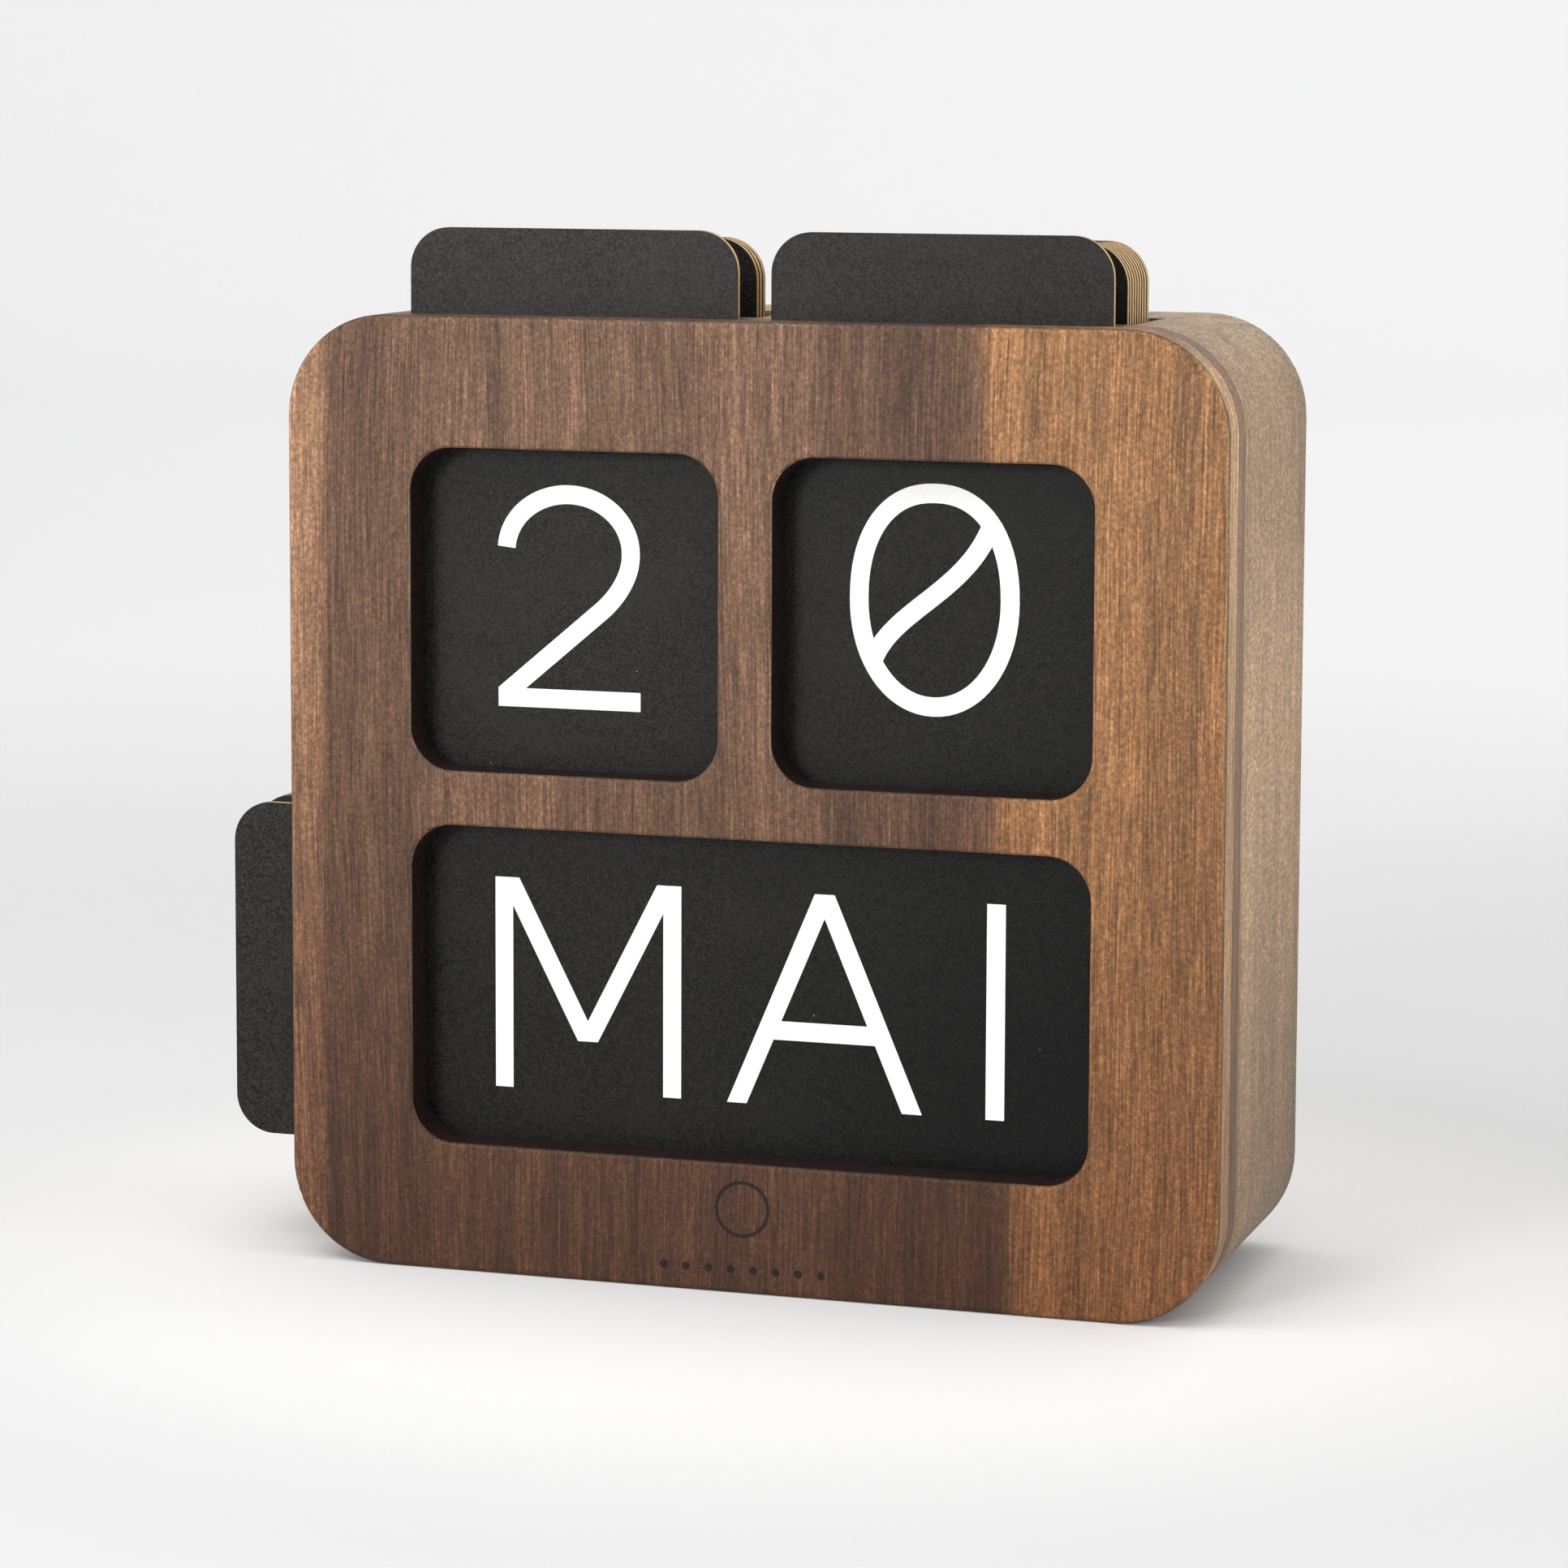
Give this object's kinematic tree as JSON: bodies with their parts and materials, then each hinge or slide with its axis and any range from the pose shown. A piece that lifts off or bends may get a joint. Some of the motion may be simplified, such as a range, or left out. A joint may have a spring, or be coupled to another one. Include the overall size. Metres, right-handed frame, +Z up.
{
  "type": "block desk calendar",
  "caption": "Block desk calendar: a laminated wooden case with three rounded windows; date cards lift out of the top, month cards pull out of the side.",
  "frame": {"origin": "centre of the wooden case's base, on the surface it stands on", "axes": "+X to the right as seen from the front, +Y from the front face to the back, +Z up"},
  "size_m": [0.1517, 0.0556, 0.1525],
  "materials": {
    "walnut_front": "oiled satin, vertical grain",
    "walnut_layer": "oiled satin, darker layer",
    "walnut_block": "oiled satin, vertical grain",
    "card_board": "matt black faces over a tan core",
    "card_print": "matt white print"
  },
  "bodies": {
    "case": {"front_panel": "walnut_front", "slot_frame": "walnut_layer", "main_block": "walnut_block"},
    "tens_card_0": {"tens_card_0": "card_board"},
    "tens_card_1": {"tens_card_1": "card_board"},
    "tens_card_2": {"tens_card_2": "card_board"},
    "tens_card_3": {"tens_card_3": "card_board"},
    "units_card_0": {"units_card_0": "card_board"},
    "units_card_1": {"units_card_1": "card_board"},
    "units_card_2": {"units_card_2": "card_board"},
    "units_card_3": {"units_card_3": "card_board"},
    "units_card_4": {"units_card_4": "card_board"},
    "units_card_5": {"units_card_5": "card_board"},
    "units_card_6": {"units_card_6": "card_board"},
    "units_card_7": {"units_card_7": "card_board"},
    "units_card_8": {"units_card_8": "card_board"},
    "units_card_9": {"units_card_9": "card_board"},
    "month_card_jan": {"month_card_jan": "card_board"},
    "month_card_feb": {"month_card_feb": "card_board"},
    "month_card_mar": {"month_card_mar": "card_board"},
    "month_card_apr": {"month_card_apr": "card_board"},
    "month_card_may": {"month_card_may": "card_board"},
    "month_card_jun": {"month_card_jun": "card_board"},
    "month_card_jul": {"month_card_jul": "card_board"},
    "month_card_aug": {"month_card_aug": "card_board"},
    "month_card_sep": {"month_card_sep": "card_board"},
    "month_card_oct": {"month_card_oct": "card_board"},
    "month_card_nov": {"month_card_nov": "card_board"},
    "month_card_dec": {"month_card_dec": "card_board"}
  },
  "joints": [
    {"name": "tens_0_lift", "type": "slide", "parent": "case", "child": "tens_card_0", "axis": [0, 0, 1], "range_m": [0, 0.072]},
    {"name": "tens_1_lift", "type": "slide", "parent": "case", "child": "tens_card_1", "axis": [0, 0, 1], "range_m": [0, 0.072]},
    {"name": "tens_2_lift", "type": "slide", "parent": "case", "child": "tens_card_2", "axis": [0, 0, 1], "range_m": [0, 0.072]},
    {"name": "tens_3_lift", "type": "slide", "parent": "case", "child": "tens_card_3", "axis": [0, 0, 1], "range_m": [0, 0.072]},
    {"name": "units_0_lift", "type": "slide", "parent": "case", "child": "units_card_0", "axis": [0, 0, 1], "range_m": [0, 0.072]},
    {"name": "units_1_lift", "type": "slide", "parent": "case", "child": "units_card_1", "axis": [0, 0, 1], "range_m": [0, 0.072]},
    {"name": "units_2_lift", "type": "slide", "parent": "case", "child": "units_card_2", "axis": [0, 0, 1], "range_m": [0, 0.072]},
    {"name": "units_3_lift", "type": "slide", "parent": "case", "child": "units_card_3", "axis": [0, 0, 1], "range_m": [0, 0.072]},
    {"name": "units_4_lift", "type": "slide", "parent": "case", "child": "units_card_4", "axis": [0, 0, 1], "range_m": [0, 0.072]},
    {"name": "units_5_lift", "type": "slide", "parent": "case", "child": "units_card_5", "axis": [0, 0, 1], "range_m": [0, 0.072]},
    {"name": "units_6_lift", "type": "slide", "parent": "case", "child": "units_card_6", "axis": [0, 0, 1], "range_m": [0, 0.072]},
    {"name": "units_7_lift", "type": "slide", "parent": "case", "child": "units_card_7", "axis": [0, 0, 1], "range_m": [0, 0.072]},
    {"name": "units_8_lift", "type": "slide", "parent": "case", "child": "units_card_8", "axis": [0, 0, 1], "range_m": [0, 0.072]},
    {"name": "units_9_lift", "type": "slide", "parent": "case", "child": "units_card_9", "axis": [0, 0, 1], "range_m": [0, 0.072]},
    {"name": "month_jan_pull", "type": "slide", "parent": "case", "child": "month_card_jan", "axis": [-1, 0, 0], "range_m": [0, 0.126]},
    {"name": "month_feb_pull", "type": "slide", "parent": "case", "child": "month_card_feb", "axis": [-1, 0, 0], "range_m": [0, 0.126]},
    {"name": "month_mar_pull", "type": "slide", "parent": "case", "child": "month_card_mar", "axis": [-1, 0, 0], "range_m": [0, 0.126]},
    {"name": "month_apr_pull", "type": "slide", "parent": "case", "child": "month_card_apr", "axis": [-1, 0, 0], "range_m": [0, 0.126]},
    {"name": "month_may_pull", "type": "slide", "parent": "case", "child": "month_card_may", "axis": [-1, 0, 0], "range_m": [0, 0.126]},
    {"name": "month_jun_pull", "type": "slide", "parent": "case", "child": "month_card_jun", "axis": [-1, 0, 0], "range_m": [0, 0.126]},
    {"name": "month_jul_pull", "type": "slide", "parent": "case", "child": "month_card_jul", "axis": [-1, 0, 0], "range_m": [0, 0.126]},
    {"name": "month_aug_pull", "type": "slide", "parent": "case", "child": "month_card_aug", "axis": [-1, 0, 0], "range_m": [0, 0.126]},
    {"name": "month_sep_pull", "type": "slide", "parent": "case", "child": "month_card_sep", "axis": [-1, 0, 0], "range_m": [0, 0.126]},
    {"name": "month_oct_pull", "type": "slide", "parent": "case", "child": "month_card_oct", "axis": [-1, 0, 0], "range_m": [0, 0.126]},
    {"name": "month_nov_pull", "type": "slide", "parent": "case", "child": "month_card_nov", "axis": [-1, 0, 0], "range_m": [0, 0.126]},
    {"name": "month_dec_pull", "type": "slide", "parent": "case", "child": "month_card_dec", "axis": [-1, 0, 0], "range_m": [0, 0.126]}
  ]
}
